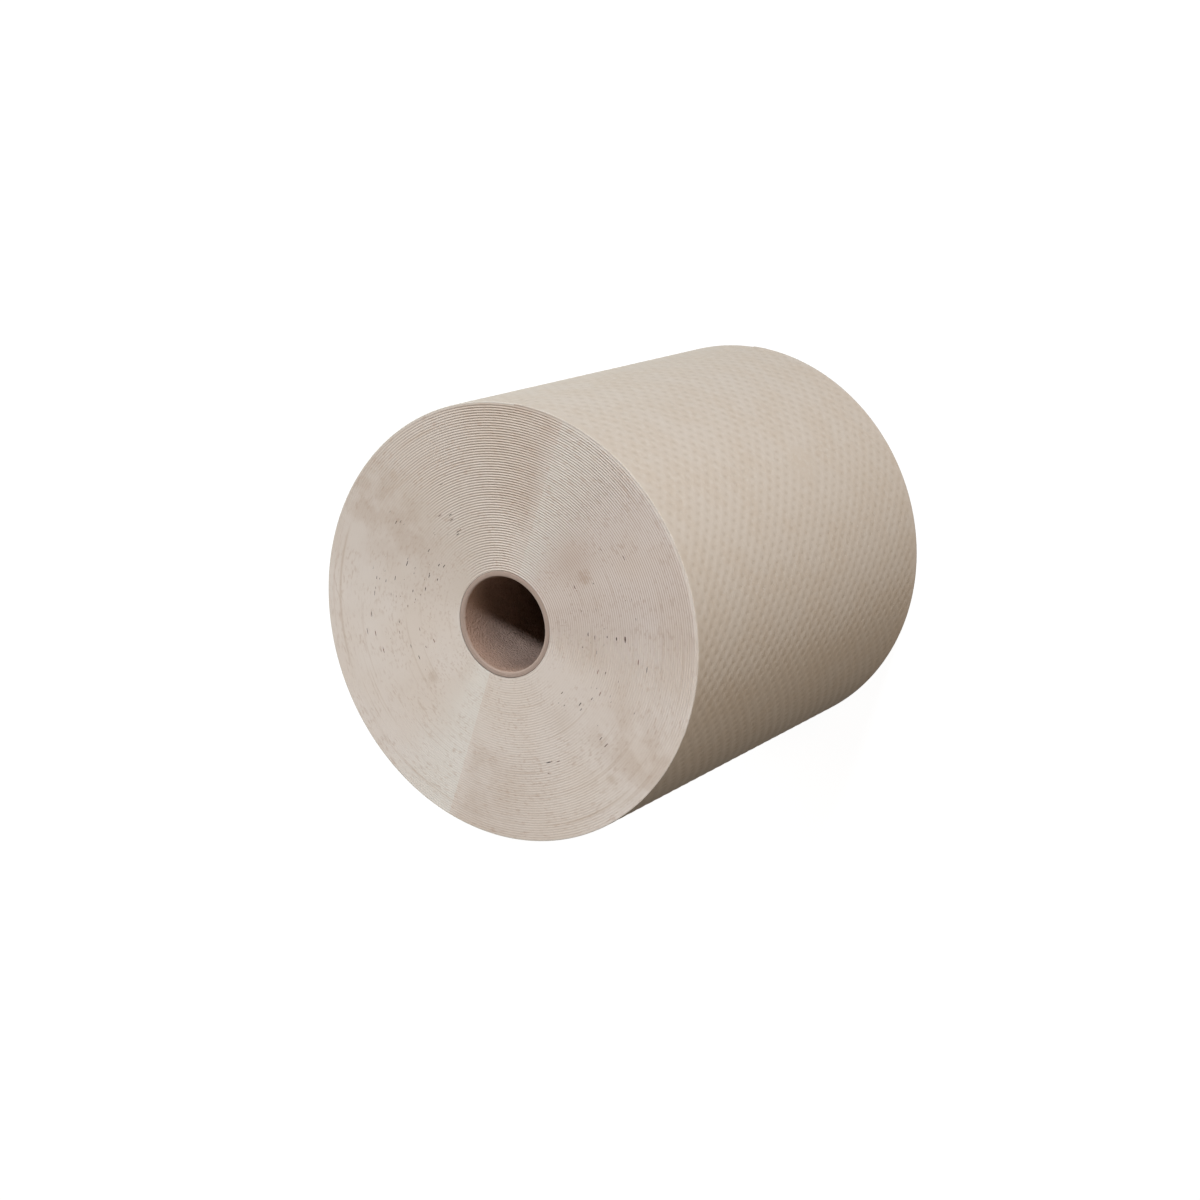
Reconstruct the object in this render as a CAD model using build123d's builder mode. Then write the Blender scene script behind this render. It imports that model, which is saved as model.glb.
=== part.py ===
"""Paper towel roll: one long web of kraft towel wound on a cardboard core, standing on its end.

The origin is the centre of the lower end, on the core's axis, and +Z runs up that axis.
"""

import os

from build123d import *

# Sizes of the roll, in millimetres
web_width = 203.2  # an 8 inch web, so the roll is this long
roll_diameter = 188.9
core_bore_diameter = 41.0
core_wall = 2.4
core_rim_chamfer = 0.5
core_clearance = 0.05  # between the core and the first turn

# The outer turn grows by one sheet on its way round and ends in a step, the tail
sheet_step = 0.3
tail_angle = -28.0  # degrees from +X

# The line between the turns is a spiral slot that runs right through from end to end
turn_pitch = 5.25
turn_gap = 0.45
inner_turns = 1.2  # unslotted turns on the core, at their thinnest
outer_turns = 1.6  # unslotted turns inside the tail, at their thinnest

# Sizes that follow from those
core_radius = core_bore_diameter / 2 + core_wall
web_bore_radius = core_radius + core_clearance
past_tail_radius = (roll_diameter - sheet_step) / 2
spiral_start = web_bore_radius + inner_turns
turn_count = int((past_tail_radius - outer_turns - spiral_start) / turn_pitch)
spiral_end = spiral_start + turn_count * turn_pitch


def full_turn(start, pitch):
    """One turn of a spiral as two half circles about two centres, from start on the X axis to start + pitch."""
    CenterArc((-pitch / 4, 0), start + pitch / 4, 0, 180)
    CenterArc((pitch / 4, 0), start + pitch * 3 / 4, 180, 180)


with BuildPart() as core:
    with BuildSketch():
        Circle(core_radius)
        Circle(core_bore_diameter / 2, mode=Mode.SUBTRACT)
    extrude(amount=web_width)
    chamfer(core.edges().filter_by(GeomType.CIRCLE), core_rim_chamfer)

with BuildPart() as web:
    # The section of the roll, with the tail on the X axis
    with BuildSketch(Plane.XY.rotated((0, 0, tail_angle))):
        with BuildLine():
            full_turn(past_tail_radius, sheet_step)
            Line((past_tail_radius, 0), (past_tail_radius + sheet_step, 0))
        make_face()
        Circle(web_bore_radius, mode=Mode.SUBTRACT)

        with BuildLine():
            for side in (-turn_gap / 2, turn_gap / 2):
                for turn in range(turn_count):
                    full_turn(spiral_start + turn * turn_pitch + side, turn_pitch)
            for slot_end in (spiral_start, spiral_end):
                Line((slot_end - turn_gap / 2, 0), (slot_end + turn_gap / 2, 0))
        make_face(mode=Mode.SUBTRACT)
    extrude(amount=web_width)

core.part.label = "cardboard_core"
web.part.label = "wound_towel"

os.makedirs("parts", exist_ok=True)
export_step(core.part, "parts/cardboard_core.step")
export_step(web.part, "parts/wound_towel.step")
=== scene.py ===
"""The looks of the paper towel roll: embossed outer turn, edges of the turns, core, light and camera.

Everything is in metres, in the frame of the part: the roll stands on its end and +Z is the axis of its core.
Angles are in degrees about that axis, from +X towards +Y.
"""

import math

import bpy
import numpy as np
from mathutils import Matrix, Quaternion, Vector


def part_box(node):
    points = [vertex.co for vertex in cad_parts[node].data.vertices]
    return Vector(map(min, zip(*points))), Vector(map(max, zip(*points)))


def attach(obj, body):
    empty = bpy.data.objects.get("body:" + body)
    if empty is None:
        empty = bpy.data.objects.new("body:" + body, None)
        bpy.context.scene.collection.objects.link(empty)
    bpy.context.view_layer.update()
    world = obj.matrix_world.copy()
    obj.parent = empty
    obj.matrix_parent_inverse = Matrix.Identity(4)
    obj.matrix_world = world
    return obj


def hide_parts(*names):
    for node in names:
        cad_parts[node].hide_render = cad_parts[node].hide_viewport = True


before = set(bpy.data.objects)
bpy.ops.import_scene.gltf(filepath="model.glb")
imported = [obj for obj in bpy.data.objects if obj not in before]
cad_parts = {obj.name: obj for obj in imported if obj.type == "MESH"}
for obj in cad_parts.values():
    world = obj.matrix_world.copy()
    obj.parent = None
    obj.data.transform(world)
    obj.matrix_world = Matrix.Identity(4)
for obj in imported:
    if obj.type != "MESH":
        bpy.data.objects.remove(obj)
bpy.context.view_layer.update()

# Sizes from the frame, with the core's wall, the sheet's step and the tail's place as in the part
web_low, web_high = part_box("wound_towel")
core_low, core_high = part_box("cardboard_core")
roll_length = web_high.z - web_low.z
core_radius = (core_high.x - core_low.x) / 2
core_wall = 0.0024
bore_radius = core_radius - core_wall
sheet_step = 0.0003
largest_radius = (web_high.x - web_low.x) / 2 + sheet_step / 2
tail_angle = -28
full_circle = 2 * math.pi

# The edges of the turns: a ridge on a spiral, high where the winding is loose and low where it is tight
core_clearance = 0.00005
turn_inner_radius = core_radius + core_clearance
turn_pitch = 0.00107
turn_segments = 320
ridge_height = 0.00072
ridge_top = 0.45  # share of the pitch
tight_height = 0.07  # share of the height where the winding is tight
loose_angle = -152  # the winding gets loose past this angle
loosening = (0, 60)  # degrees past it
tightening = (75, 185)  # degrees past it
rim_fade = 2.5 * turn_pitch  # the ridge is low at the rim and gets its height over this way inwards

# The edge of the outermost turn: round outside, with a flat land that dips inwards
edge_round = 0.00025
edge_round_steps = 3
edge_land = 0.0004
edge_dip = 0.0001

# The embossing: small dents in rows that are shifted by half a step, and low bumps between them
dents_round = 78
dents_long = 27
half_step = 0.5
dent_depth = 0.00034
bump_height = 0.2  # share of the depth
dent_width_round = 0.085  # share of a step, as the deviation of a bell curve
dent_width_long = 0.13  # share of a step
dent_flank_long = 0.14  # share of a step
# painted shade: how much darker the paper is painted in the dents
dent_shade = 0.42
plain_depth = bump_height  # the level between the dents and the bumps
plain_margin = 0.0012
full_margin = 0.0055
pressed_place = (-76.5, 0.079)  # angle and height of a patch where the embossing is pressed flat
pressed_size = 0.014
pressed_flat = pressed_size / 3  # nothing of the embossing is left within this

# The core
core_segments = 160
core_round_steps = 4
bore_round = 0.0008
outside_round = 0.0003

# Colours and gloss of the paper and the board
side_colour = (0.576, 0.53, 0.475)
side_pale = (0.6, 0.556, 0.503)
side_warm = (0.561, 0.505, 0.44)
# the next colour is painted shade in the dents
side_dent_painted_shade = (0.45, 0.4, 0.335)
edge_colour = (0.622, 0.545, 0.48)
edge_pale = (0.652, 0.588, 0.536)
edge_cool = (0.68, 0.65, 0.6)
edge_brown = (0.44, 0.335, 0.26)
# the next colour is painted shade on one side of an end
edge_painted_shade = (0.43, 0.363, 0.305)
# the speckle colour, which also serves as the painted shade between the edges of the turns
speckle_and_groove_shade_colour = (0.37, 0.245, 0.175)
fleck_black = (0.035, 0.025, 0.022)
fleck_red = (0.17, 0.07, 0.045)
wall_colour = (0.362, 0.248, 0.194)
wall_dark = (0.312, 0.21, 0.163)
rim_colour = (0.345, 0.264, 0.222)
paper_roughness = 0.92
board_roughness = 0.8
specular_level = 0.2

# Brown sectors on an end: share of a full turn, share of the radius where one starts and is full, strength
sector_angle = -43
brown_sectors = ((0, 0.34, 0.62, 0.6), (0.5, 0.55, 0.7, 0.45))

# A sector's wedge, the band after it and the pale strip before it, in shares of a turn past its sharp side
wedge_rise = (0, 0.018)
wedge_fall = (0.15, 0)
band_rise = (0.16, 0.195)
band_fall = (0.27, 0.21)
band_share = 0.8
strip_rise = (0.92, 0.99)
strip_share = 0.65

# Wide tones on an end, each strongest at an angle: a brown tone and a painted shade; and a broken ring near
# the rim
brown_side = -155
brown_side_reach = (0.8 * largest_radius, 0.6 * largest_radius)
brown_side_share = 0.13
# painted shade: the side of an end that is painted duller and darker, and how strongly
painted_shade_side = -7
painted_shade_share = 0.45
ring_radius = 0.925 * largest_radius
ring_share = 0.5

# Stains on an end: angle, share of the radius, size and strength
stains = (
    (-82, 0.5, 0.006, 0.75),
    (103, 0.5, 0.005, 0.5),
    (20, 0.86, 0.004, 0.5),
    (198, 0.84, 0.004, 0.5),
    (-72, 0.5, 0.018, 0.25),
    (193, 0.5, 0.012, 0.2),
)
stain_start = 1.3  # share of its size where a stain starts
stain_full = 0.5  # share of its size where it is full

# Flecks on an end, in layers: cells in a radian, cells in a metre outwards, size in cells and rarity
fleck_layers = ((8, 900, 0.15, 0.74), (16, 1200, 0.17, 0.9))
fleck_angle = 53  # they are thickest at this angle and across from it
fleck_sides = (-3, 0.8)  # limits of a cosine, low enough to leave a few flecks on the other sides
fleck_belt_rise = (0.028, 0.04)  # radii
fleck_belt_fall = (0.085, 0.07)  # radii
fleck_softness = 0.3  # share of the size

# Speckle, and shade painted between the edges of the turns, darkest deepest down
speckle_share = 0.36
groove_shade_start = 0.5 * ridge_height
groove_shade_share = 0.85

# The cut rim of the core, by the way from the end
rim_reach = (1.3 * bore_round, 0.4 * bore_round)
rim_smoothness = 0.85

# Lamps: name, azimuth, elevation, size, and how bright each makes a white wall that faces it
lamp_distance = 2.5
lamps = (
    ("key", -42, 44, 0.38, (0.625, 0.69, 0.765)),
    ("fill", -80, 16, 1.5, (0.55, 0.475, 0.405)),
    ("back", 45, 22, 2, (0.731, 0.745, 0.711)),
    ("rear", 95, 2, 0.6, (0.7, 0.68, 0.65)),
)

# The surround and the floor
surround_colour = (0.145, 0.111, 0.077)
floor_half = 8
floor_glow = 0.95  # its own white, as the camera sees it
floor_grey = (0.12, 0.12, 0.12)  # takes the shadow
floor_dark = (0.11, 0.09, 0.067)  # as the roll sees it


def new_object(name, vertices, faces, material):
    """A smooth mesh object that rides on the part."""
    mesh = bpy.data.meshes.new(name)
    mesh.from_pydata([tuple(v) for v in vertices], [], faces)
    mesh.materials.append(material)
    mesh.polygons.foreach_set("use_smooth", [True] * len(mesh.polygons))
    mesh.update()
    piece = bpy.data.objects.new(name, mesh)
    bpy.context.collection.objects.link(piece)
    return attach(piece, "root")


def grid_faces(rows, columns, closed_columns=False, first=0, flip=False):
    """Quads over a grid of vertices that is stored row by row."""
    faces = []
    last = columns if closed_columns else columns - 1
    for row in range(rows - 1):
        near = first + row * columns
        far = near + columns
        for column in range(last):
            beside = (column + 1) % columns
            face = (near + column, near + beside, far + beside, far + column)
            faces.append(face[::-1] if flip else face)
    return faces


def on_circle(radius, turn, height):
    """Points at a radius, a share of a full turn past the tail, and a height."""
    angle = math.radians(tail_angle) + full_circle * turn
    radius, angle, height = np.broadcast_arrays(radius, angle, height)
    return np.stack([radius * np.cos(angle), radius * np.sin(angle), height], axis=-1)


def quarter_round(steps):
    """Angles in radians over a quarter of a circle, in so many steps."""
    return np.linspace(0, math.pi / 2, steps + 1)


def soft_step(value, low, high):
    """0 below low, 1 above high, and smooth between them."""
    share = np.clip((value - low) / (high - low), 0, 1)
    return share * share * (3 - 2 * share)


def outer_radius(turn):
    """Radius of the outside at a share of a full turn past the tail."""
    return largest_radius - sheet_step * (1 - turn)


def dent_sharpness():
    """How narrow the bell curve of a dent is, round the roll and along it."""
    return (full_circle * dent_width_round) ** -2, (full_circle * dent_width_long) ** -2


def dent(around, along):
    """A bell-shaped dent in each step, from 0 to 1, at the given phases."""
    sharp_round, sharp_long = dent_sharpness()
    return np.exp(sharp_round * (np.cos(around) - 1) + sharp_long * (np.cos(along) - 1))


def embossing(turn, height):
    """Depth below the tops of the bumps, in depths of a dent, even at the ends and in the pressed patch."""
    around = full_circle * dents_round * turn
    along = full_circle * dents_long * height / roll_length
    dents = dent(around, along) + dent(around + math.pi, along + math.pi)
    bumps = dent(around + math.pi, along) + dent(around, along + math.pi)
    depth = dents + bump_height * (1 - bumps)
    from_end = np.minimum(height, roll_length - height)
    angle, level = pressed_place
    arc = largest_radius * full_circle * (turn - (angle - tail_angle) / 360 % 1)
    from_patch = np.hypot(arc, height - level)
    share = soft_step(from_end, plain_margin, full_margin)
    share = share * soft_step(from_patch, pressed_flat, pressed_size)
    return plain_depth + (depth - plain_depth) * share


def dent_marks(count, flank):
    """Shares from 0 to 1 at the bottoms and flanks of so many steps of dents."""
    across_dent = np.array([-flank, 0, flank])
    in_step = np.concatenate([across_dent, across_dent + half_step])
    marks = (np.arange(count + 1)[:, None] + in_step) / count
    return np.unique(np.clip(marks, 0, 1))


def outer_turn(material):
    """The outside sheet, embossed, with rounded ends and the cut edge of its tail."""
    turn = dent_marks(dents_round, dent_width_round)[None, :]
    columns = turn.size
    bend = quarter_round(edge_round_steps)
    insets = np.concatenate([[edge_round + edge_land], edge_round * (1 - np.sin(bend))])
    sinks = np.concatenate([[edge_dip], edge_round * (1 - np.cos(bend))])
    side = roll_length * dent_marks(dents_long, dent_flank_long)[1:-1]
    inset = np.concatenate([insets, 0 * side, insets[::-1]])[:, None]
    height = np.concatenate([sinks, side, roll_length - sinks[::-1]])[:, None]
    radius = outer_radius(turn) - inset - dent_depth * embossing(turn, height)
    points = on_circle(radius, turn, height).reshape(-1, 3)
    faces = grid_faces(len(height), columns)
    # The cut edge of the tail, from the last column to the first
    for row in range(len(height) - 1):
        start = row * columns
        end = start + columns
        faces.append((start, end, end + columns - 1, start + columns - 1))
    return new_object("outer_turn", points, faces, material)


def looseness(turn, from_rim):
    """Share of the ridge's height at a share of a full turn past the tail and a way in from the rim."""
    past = (tail_angle - loose_angle + 360 * turn) % 360
    share = soft_step(past, *loosening) * (1 - soft_step(past, *tightening))
    share = share * soft_step(from_rim, 0, rim_fade)
    return tight_height + (1 - tight_height) * share


def wound_turns(material):
    """The edges of all the turns under the outside sheet: a spiral ridge with a sharp crest on each end."""
    turn_count = math.ceil((largest_radius - turn_inner_radius) / turn_pitch)
    steps = turn_count * turn_segments + 1
    turn = np.arange(steps)[:, None] / turn_segments
    outer_limit = outer_radius(turn % 1) - edge_round / 2
    rise = ((0, 1), (ridge_top, 0))
    fall = ((ridge_top, 0), (1, 1))
    points = np.empty((0, 3))
    faces = []
    for profile in (rise, fall):
        across, drop = np.array(profile).T
        radius = turn_inner_radius + turn_pitch * (turn - 1 + across)
        radius = np.clip(radius, turn_inner_radius, outer_limit)
        sink = ridge_height * looseness(turn, outer_limit - radius) * drop
        wide = np.flatnonzero(radius[:, 1] > radius[:, 0])
        rows = slice(wide[0] - 1, wide[-1] + 2)  # a point at each end of the spiral
        for height, upper in ((roll_length - sink, True), (sink, False)):
            strip = on_circle(radius[rows], turn[rows], height[rows])
            faces += grid_faces(len(strip), len(across), first=len(points), flip=upper)
            points = np.concatenate([points, strip.reshape(-1, 3)])
    return new_object("wound_turns", points, faces, material)


def core_section():
    """The core's section as radii and heights: two walls and two rounded rims."""
    middle_radius = (core_radius + bore_radius) / 2
    middle_height = roll_length / 2
    bend = quarter_round(core_round_steps)
    section = []
    for outwards, upwards in ((1, 1), (-1, 1), (-1, -1), (1, -1)):
        corner_round = outside_round if outwards > 0 else bore_round
        radius = middle_radius + outwards * (core_wall / 2 - corner_round)
        height = middle_height + upwards * (middle_height - corner_round)
        for angle in bend if outwards == upwards else bend[::-1]:
            out = outwards * corner_round * math.cos(angle)
            up = upwards * corner_round * math.sin(angle)
            section.append((radius + out, height + up))
    section.append(section[0])
    return np.array(section)


def core_tube(material):
    """The core, turned from its section."""
    section = core_section()
    radius, height = section.T[:, :, None]
    turn = np.arange(core_segments)[None, :] / core_segments
    points = on_circle(radius, turn, height).reshape(-1, 3)
    faces = grid_faces(len(section), core_segments, closed_columns=True)
    return new_object("core_tube", points, faces, material)


class Finish:
    """A material around one Principled shader, with a short call for each kind of node."""

    def __init__(self, name, roughness):
        self.material = bpy.data.materials.new(name)
        self.material.use_nodes = True
        self.tree = self.material.node_tree
        self.shader = self.tree.nodes["Principled BSDF"]
        self.shader.inputs["Roughness"].default_value = roughness
        self.shader.inputs["Specular IOR Level"].default_value = specular_level
        coordinates = self.tree.nodes.new("ShaderNodeTexCoord")
        self.place = coordinates.outputs["Object"]
        separate = self.tree.nodes.new("ShaderNodeSeparateXYZ")
        self.tree.links.new(self.place, separate.inputs[0])
        self.x, self.y, self.z = separate.outputs
        self.radius = self.length(self.x, self.y)
        self.angle = self.math("ARCTAN2", self.y, self.x)
        self.from_end = self.math("MINIMUM", self.z, self.math("SUBTRACT", roll_length, self.z))

    def put(self, socket, value):
        """Link an output to a socket, or set the socket's own value."""
        if isinstance(value, bpy.types.NodeSocket):
            self.tree.links.new(value, socket)
        else:
            socket.default_value = value

    def math(self, operation, first, second=0.0, third=0.0):
        """The result of one operation on numbers."""
        node = self.tree.nodes.new("ShaderNodeMath")
        node.operation = operation
        for socket, value in zip(node.inputs, (first, second, third)):
            self.put(socket, value)
        return node.outputs[0]

    def product(self, *factors):
        """All factors multiplied."""
        result = factors[0]
        for factor in factors[1:]:
            result = self.math("MULTIPLY", result, factor)
        return result

    def length(self, one_way, other_way):
        """The distance that two ways at a right angle add up to."""
        squares = self.math("ADD", self.product(one_way, one_way), self.product(other_way, other_way))
        return self.math("SQRT", squares)

    def past(self, angle):
        """Radians from an angle, which is given in degrees, to the place."""
        return self.math("SUBTRACT", self.angle, math.radians(angle))

    def step(self, value, low, high, most=1.0):
        """0 at low, most at high, and smooth between them, whichever is larger."""
        node = self.tree.nodes.new("ShaderNodeMapRange")
        node.interpolation_type = "SMOOTHSTEP"
        rising = high > low
        self.put(node.inputs["Value"], value)
        node.inputs["From Min"].default_value = low if rising else high
        node.inputs["From Max"].default_value = high if rising else low
        node.inputs["To Min"].default_value = 0 if rising else most
        node.inputs["To Max"].default_value = most if rising else 0
        return node.outputs["Result"]

    def wound(self, around, across):
        """A vector that runs round the axis and outwards, for texture that follows the turns."""
        node = self.tree.nodes.new("ShaderNodeCombineXYZ")
        end_shift = 40  # gives the two ends different texture
        outwards = self.math("MULTIPLY_ADD", self.radius, across, self.math("MULTIPLY", self.z, end_shift))
        for socket, value in zip(node.inputs, (self.x, self.y)):
            self.put(socket, self.math("DIVIDE", self.math("MULTIPLY", value, around), self.radius))
        self.put(node.inputs[2], outwards)
        return node.outputs[0]

    def noise(self, vector, scale=1.0, detail=2.0, roughness=0.5):
        """Noise from 0 to 1."""
        node = self.tree.nodes.new("ShaderNodeTexNoise")
        self.put(node.inputs["Vector"], vector)
        node.inputs["Scale"].default_value = scale
        node.inputs["Detail"].default_value = detail
        node.inputs["Roughness"].default_value = roughness
        return node.outputs["Fac"]

    def cells(self, vector):
        """Distance from the nearest of many scattered points, and three random numbers for each point."""
        node = self.tree.nodes.new("ShaderNodeTexVoronoi")
        self.put(node.inputs["Vector"], vector)
        node.inputs["Scale"].default_value = 1
        split = self.tree.nodes.new("ShaderNodeSeparateColor")
        self.tree.links.new(node.outputs["Color"], split.inputs[0])
        return node.outputs["Distance"], *split.outputs

    def mix(self, share, first, second):
        """A mix of two colours."""
        node = self.tree.nodes.new("ShaderNodeMix")
        node.data_type = "RGBA"
        self.put(node.inputs["Factor"], share)
        colour_inputs = (node.inputs[6], node.inputs[7])
        for socket, value in zip(colour_inputs, (first, second)):
            self.put(socket, value if isinstance(value, bpy.types.NodeSocket) else (*value, 1))
        return node.outputs[2]

    def colour(self, value):
        """Send a colour to the shader."""
        self.put(self.shader.inputs["Base Color"], value)

    def bump(self, height, distance, strength=1.0):
        """Send a height, from 0 to 1 over a distance, to the shader."""
        node = self.tree.nodes.new("ShaderNodeBump")
        node.inputs["Distance"].default_value = distance
        node.inputs["Strength"].default_value = strength
        self.put(node.inputs["Height"], height)
        self.put(self.shader.inputs["Normal"], node.outputs["Normal"])


def in_dent(finish):
    """How deep a place lies in a dent, from 0 to 1, in step with the shape of the dents: the mask of the
    shade painted in the dents.
    """
    sharp_round, sharp_long = dent_sharpness()
    around = finish.math("COSINE", finish.product(finish.past(tail_angle), dents_round))
    along = finish.math("COSINE", finish.product(finish.z, full_circle * dents_long / roll_length))
    pull = finish.math("MULTIPLY_ADD", around, sharp_round, finish.product(along, sharp_long))
    most = sharp_round + sharp_long
    one_row = finish.math("EXPONENT", finish.math("SUBTRACT", pull, most))
    next_row = finish.math("EXPONENT", finish.math("SUBTRACT", -most, pull))
    angle, level = pressed_place
    arc = finish.product(finish.past(angle), largest_radius)
    from_patch = finish.length(arc, finish.math("SUBTRACT", finish.z, level))
    return finish.product(
        finish.math("ADD", one_row, next_row),
        finish.step(finish.from_end, plain_margin, full_margin),
        finish.step(from_patch, pressed_flat, pressed_size),
    )


def side_paper():
    """Unbleached towel paper: cloudy, with a fine tooth, and with shade painted darker in the dents."""
    finish = Finish("side_paper", paper_roughness)
    cloud = finish.noise(finish.place, scale=55, detail=3)
    formation = finish.noise(finish.place, scale=420)
    tooth = finish.noise(finish.place, scale=1500, detail=3, roughness=0.6)
    colour = finish.mix(finish.step(cloud, low=0.35, high=0.65), side_warm, side_colour)
    colour = finish.mix(finish.step(formation, low=0.4, high=0.75, most=0.8), colour, side_pale)
    # painted shade: the paper is painted darker in the dents
    finish.colour(finish.mix(finish.product(in_dent(finish), dent_shade), colour, side_dent_painted_shade))
    finish.bump(tooth, distance=0.00012, strength=0.6)
    return finish.material


def ground(finish):
    """The colour under all marks on an end: cloudy beige with faint brown streaks along the turns."""
    cloud = finish.noise(finish.place, scale=30)
    streak = finish.noise(finish.wound(around=4, across=22), detail=3)
    colour = finish.mix(finish.step(cloud, low=0.3, high=0.7), edge_colour, edge_pale)
    return finish.mix(finish.step(streak, low=0.5, high=0.8, most=0.12), colour, edge_brown)


def sectors(finish, colour, patch):
    """Brown sectors with a sharp side each, a pale strip before each, and a brown band after each."""
    turn = finish.math("FRACT", finish.math("DIVIDE", finish.past(sector_angle), full_circle))
    for start, inner, outer, strength in brown_sectors:
        past = finish.math("FRACT", finish.math("SUBTRACT", turn, start))
        wedge = finish.product(finish.step(past, *wedge_rise), finish.step(past, *wedge_fall))
        band = finish.product(finish.step(past, *band_rise), finish.step(past, *band_fall))
        broken_band = finish.product(band, finish.step(patch, low=0.3, high=0.6, most=band_share))
        reach = finish.step(finish.radius, inner * largest_radius, outer * largest_radius)
        mottle = finish.step(patch, low=0, high=0.6, most=strength)
        brown = finish.product(finish.math("ADD", wedge, broken_band), reach, mottle)
        colour = finish.mix(brown, colour, edge_brown)
        colour = finish.mix(finish.step(past, *strip_rise, most=strip_share), colour, edge_cool)
    return colour


def towards(finish, angle):
    """1 at an angle, and 0 a quarter of a turn or more away from it."""
    return finish.step(finish.math("COSINE", finish.past(angle)), low=0, high=1)


def toned(finish, colour):
    """A brown tone near the core on one side, and painted shade on another."""
    inside = finish.step(finish.radius, *brown_side_reach, most=brown_side_share)
    colour = finish.mix(finish.product(towards(finish, brown_side), inside), colour, edge_brown)
    # painted shade: one side of the end is painted duller and darker
    return finish.mix(finish.product(towards(finish, painted_shade_side), painted_shade_share), colour, edge_painted_shade)


def speckled(finish, colour, grain, patch):
    """Fine brown speckle in patches, and thin brown arcs along the turns."""
    in_patch = finish.step(patch, low=0.3, high=0.6, most=speckle_share)
    speckle = finish.product(finish.step(grain, low=0.5, high=0.72), in_patch)
    colour = finish.mix(speckle, colour, speckle_and_groove_shade_colour)
    arcs = finish.noise(finish.wound(around=1.6, across=700), detail=1)
    return finish.mix(finish.step(arcs, low=0.62, high=0.74, most=0.25), colour, edge_brown)


def ringed(finish, colour):
    """A broken brown ring near the rim."""
    gaps = finish.noise(finish.wound(around=1.7, across=0), detail=1)
    ring = finish.product(
        finish.step(finish.radius, ring_radius - turn_pitch, ring_radius),
        finish.step(finish.radius, ring_radius + turn_pitch, ring_radius),
        finish.step(gaps, low=0.45, high=0.65, most=ring_share),
    )
    return finish.mix(ring, colour, edge_brown)


def stained(finish, colour, grain):
    """A few ragged brown stains."""
    for angle, radius_share, size, strength in stains:
        radius = radius_share * largest_radius
        away_x = finish.math("SUBTRACT", finish.x, radius * math.cos(math.radians(angle)))
        away_y = finish.math("SUBTRACT", finish.y, radius * math.sin(math.radians(angle)))
        ragged = finish.math("MULTIPLY_ADD", grain, size, finish.length(away_x, away_y))
        stain = finish.step(ragged, low=size * stain_start, high=size * stain_full, most=strength)
        colour = finish.mix(stain, colour, edge_brown)
    return colour


def fleck_zone(finish):
    """Where flecks lie: in a belt between the core and the rim, most of them on two opposite sides."""
    sides = finish.math("COSINE", finish.product(finish.past(fleck_angle), 2))
    return finish.product(
        finish.step(sides, *fleck_sides),
        finish.step(finish.radius, *fleck_belt_rise),
        finish.step(finish.radius, *fleck_belt_fall),
    )


def flecked(finish, colour):
    """Scattered dark flecks that lie along the turns, each with its own size and tint."""
    zone = fleck_zone(finish)
    rough = finish.noise(finish.place, scale=2600, detail=1)
    for around, across, size, rarity in fleck_layers:
        distance, chance, tint, breadth = finish.cells(finish.wound(around, across))
        ragged = finish.math("MULTIPLY_ADD", rough, size, distance)
        inside = finish.math("MULTIPLY_ADD", breadth, size, finish.math("SUBTRACT", size, ragged))
        chosen = finish.math("GREATER_THAN", finish.product(chance, zone), rarity)
        fleck = finish.product(finish.step(inside, low=0, high=size * fleck_softness), chosen)
        fleck_colour = finish.mix(finish.step(tint, low=0.5, high=1), fleck_black, fleck_red)
        colour = finish.mix(fleck, colour, fleck_colour)
    return colour


def edge_paper():
    """The cut edges of the turns: beige, with brown and pale sectors, speckle, stains and dark flecks, and
    with shade painted between the turns and on one side.
    """
    finish = Finish("edge_paper", paper_roughness)
    grain = finish.noise(finish.wound(around=26, across=950))
    patch = finish.noise(finish.place, scale=90, detail=3, roughness=0.6)
    fibre = finish.noise(finish.wound(around=14, across=3000), roughness=0.6)
    colour = ground(finish)
    colour = sectors(finish, colour, patch)
    colour = toned(finish, colour)
    colour = speckled(finish, colour, grain, patch)
    colour = ringed(finish, colour)
    colour = stained(finish, colour, grain)
    colour = flecked(finish, colour)
    # painted shade: the low parts between the edges of the turns are painted darker, towards the speckle
    # colour
    groove_shade = finish.step(finish.from_end, groove_shade_start, ridge_height, most=groove_shade_share)
    finish.colour(finish.mix(groove_shade, colour, speckle_and_groove_shade_colour))
    finish.bump(fibre, distance=0.0001, strength=0.12)
    return finish.material


def core_board():
    """Grey-brown board: a leathery wall inside, and a paler, smooth cut rim."""
    finish = Finish("core_board", board_roughness)
    grain = finish.noise(finish.place, scale=900, detail=3, roughness=0.6)
    cloud = finish.noise(finish.place, scale=90)
    rim = finish.step(finish.from_end, *rim_reach)
    wall = finish.mix(finish.step(cloud, low=0.35, high=0.7), wall_dark, wall_colour)
    cut = finish.mix(finish.step(grain, low=0.4, high=0.7, most=0.25), rim_colour, wall_colour)
    finish.colour(finish.mix(rim, wall, cut))
    leathery = finish.math("MULTIPLY_ADD", rim, -rim_smoothness, 1)
    finish.bump(finish.product(grain, leathery), distance=0.0014)
    return finish.material


def camera():
    """The photograph's camera, which is turned on its own axis because the roll stands."""
    place = Vector((0, -0.5959, 0.9763))
    target = Vector((-0.0047, 0.021, 0.1016))
    roll = math.radians(-110.67)
    data = bpy.data.cameras.new("camera")
    data.sensor_width = 36  # millimetres
    data.lens = 69.755  # millimetres
    viewer = bpy.data.objects.new("camera", data)
    viewer.location = place
    viewer.rotation_mode = "QUATERNION"
    viewer.rotation_quaternion = (target - place).to_track_quat("-Z", "Y") @ Quaternion((0, 0, 1), roll)
    bpy.context.collection.objects.link(viewer)
    bpy.context.scene.camera = viewer


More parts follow.
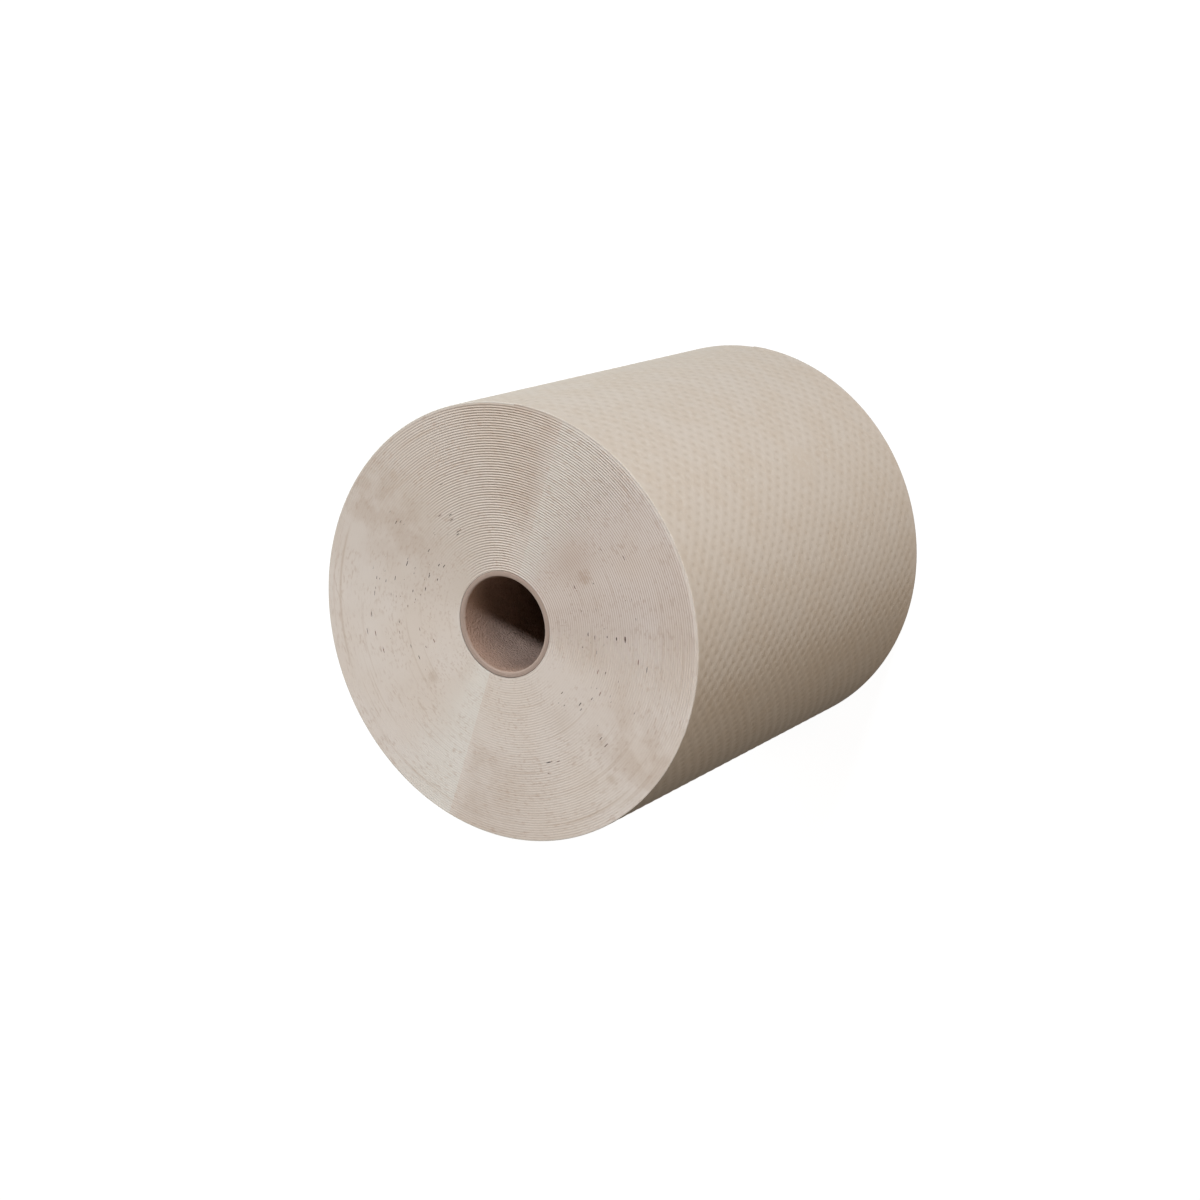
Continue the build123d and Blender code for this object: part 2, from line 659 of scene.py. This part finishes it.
def lamp(name, azimuth, elevation, size, level):
    """A round soft light, aimed at the middle of the roll, with the power that its level takes there."""
    data = bpy.data.lights.new(name, "AREA")
    data.shape = "DISK"
    data.size = size
    data.energy = (math.pi * lamp_distance) ** 2
    data.color = level
    light = bpy.data.objects.new(name, data)
    azimuth = math.radians(azimuth)
    elevation = math.radians(elevation)
    flat = math.cos(elevation)
    outwards = Vector((flat * math.cos(azimuth), flat * math.sin(azimuth), math.sin(elevation)))
    light.location = Vector((0, 0, roll_length / 2)) + outwards * lamp_distance
    light.rotation_mode = "QUATERNION"
    light.rotation_quaternion = (-outwards).to_track_quat("-Z", "Y")
    bpy.context.collection.objects.link(light)


def seen(tree):
    """A socket that is 1 for what the camera sees, directly or through gloss or glass."""
    path = tree.nodes.new("ShaderNodeLightPath")
    share = path.outputs["Is Camera Ray"]
    for kind in ("Is Glossy Ray", "Is Transmission Ray"):
        larger = tree.nodes.new("ShaderNodeMath")
        larger.operation = "MAXIMUM"
        tree.links.new(share, larger.inputs[0])
        tree.links.new(path.outputs[kind], larger.inputs[1])
        share = larger.outputs[0]
    return share


def studio_world():
    """A dark warm surround that the camera sees as white."""
    scene = bpy.context.scene
    scene.world = bpy.data.worlds.new("studio")
    scene.world.use_nodes = True
    tree = scene.world.node_tree
    surround = tree.nodes["Background"]
    surround.inputs["Color"].default_value = (*surround_colour, 1)
    white = tree.nodes.new("ShaderNodeBackground")
    white.inputs["Color"].default_value = (1, 1, 1, 1)
    mix = tree.nodes.new("ShaderNodeMixShader")
    tree.links.new(seen(tree), mix.inputs["Fac"])
    tree.links.new(surround.outputs["Background"], mix.inputs[1])
    tree.links.new(white.outputs["Background"], mix.inputs[2])
    tree.links.new(mix.outputs["Shader"], tree.nodes["World Output"].inputs["Surface"])


def floor_material():
    """White with a faint shadow to the camera, and dark to the roll, so that it throws little light back."""
    material = bpy.data.materials.new("floor")
    material.use_nodes = True
    tree = material.node_tree
    tree.nodes.clear()
    white = tree.nodes.new("ShaderNodeEmission")
    white.inputs["Strength"].default_value = floor_glow
    shaded = tree.nodes.new("ShaderNodeBsdfDiffuse")
    shaded.inputs["Color"].default_value = (*floor_grey, 1)
    both = tree.nodes.new("ShaderNodeAddShader")
    unseen = tree.nodes.new("ShaderNodeBsdfDiffuse")
    unseen.inputs["Color"].default_value = (*floor_dark, 1)
    mix = tree.nodes.new("ShaderNodeMixShader")
    output = tree.nodes.new("ShaderNodeOutputMaterial")
    tree.links.new(white.outputs["Emission"], both.inputs[0])
    tree.links.new(shaded.outputs["BSDF"], both.inputs[1])
    tree.links.new(seen(tree), mix.inputs["Fac"])
    tree.links.new(unseen.outputs["BSDF"], mix.inputs[1])
    tree.links.new(both.outputs["Shader"], mix.inputs[2])
    tree.links.new(mix.outputs["Shader"], output.inputs["Surface"])
    return material


def floor():
    """A plain square floor."""
    near, far = -floor_half, floor_half
    corners = [(near, near, 0), (far, near, 0), (far, far, 0), (near, far, 0)]
    mesh = bpy.data.meshes.new("floor")
    mesh.from_pydata(corners, [], [(0, 1, 2, 3)])
    mesh.materials.append(floor_material())
    plane = bpy.data.objects.new("floor", mesh)
    bpy.context.collection.objects.link(plane)


for piece in (outer_turn(side_paper()), wound_turns(edge_paper())):
    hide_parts("wound_towel")
core = core_tube(core_board())
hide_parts("cardboard_core")

camera()
for settings in lamps:
    lamp(*settings)
studio_world()
floor()
bpy.context.scene.view_settings.view_transform = "Standard"
